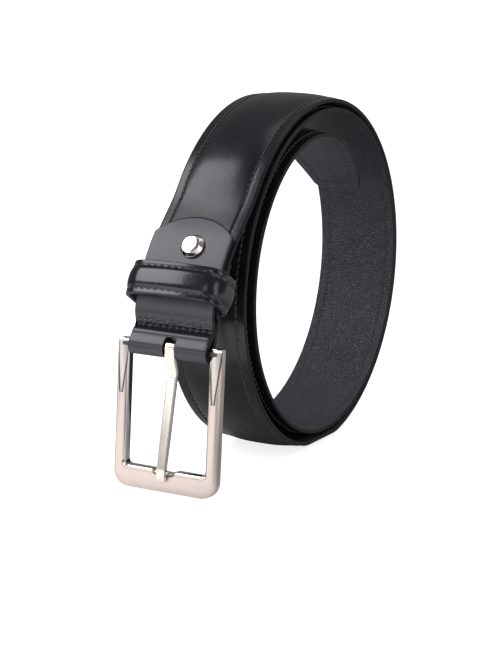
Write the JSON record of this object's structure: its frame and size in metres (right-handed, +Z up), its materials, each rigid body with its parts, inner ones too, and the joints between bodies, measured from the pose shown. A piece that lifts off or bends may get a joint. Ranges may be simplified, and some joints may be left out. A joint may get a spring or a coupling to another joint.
{
  "type": "leather belt",
  "caption": "Rolled padded leather dress belt with a single-loop buckle that swings, a prong that lifts and a sliding keeper loop.",
  "frame": {"origin": "middle of the flat face on the outside of the roll that the belt rests on", "axes": "+X across the strap, -Y towards the buckle's front, +Z up"},
  "size_m": [0.0448, 0.1732, 0.1442],
  "materials": {
    "strap_leather": "glossy black top-grain leather",
    "filler": "pressed fibre padding",
    "lining": "pebble-grained black lining leather",
    "thread": "waxed black thread",
    "tab_leather": "smooth satin black leather",
    "bright_nickel": "polished nickel plating",
    "steel": "plain steel wire and screw",
    "satin_nickel": "satin pearl nickel with polished bevels"
  },
  "bodies": {
    "strap": {"strap_leather": "strap_leather", "strap_filler": "filler", "strap_lining": "lining", "strap_stitching": "thread", "buckle_tab": "tab_leather", "tab_stitching": "thread", "stud_post": "bright_nickel", "stud_screw": "steel"},
    "keeper": {"keeper_leather": "strap_leather", "keeper_lining": "lining", "keeper_stitching_upper": "thread", "keeper_stitching_lower": "thread"},
    "frame": {"buckle_frame": "satin_nickel", "buckle_bar": "steel"},
    "prong": {"prong": "bright_nickel"}
  },
  "joints": [
    {"name": "keeper_slide", "type": "slide", "parent": "strap", "child": "keeper", "axis": [0, 0.3964, 0.9181], "range_m": [-0.005, 0.003]},
    {"name": "frame_swing", "type": "hinge", "parent": "strap", "child": "frame", "pos_m": [0, -0.0931, 0.05499], "axis": [-1, 0, 0], "range_deg": [-40, 30]},
    {"name": "prong_swing", "type": "hinge", "parent": "frame", "child": "prong", "pos_m": [0, -0.0931, 0.05499], "axis": [-1, 0, 0], "range_deg": [0, 85]}
  ]
}
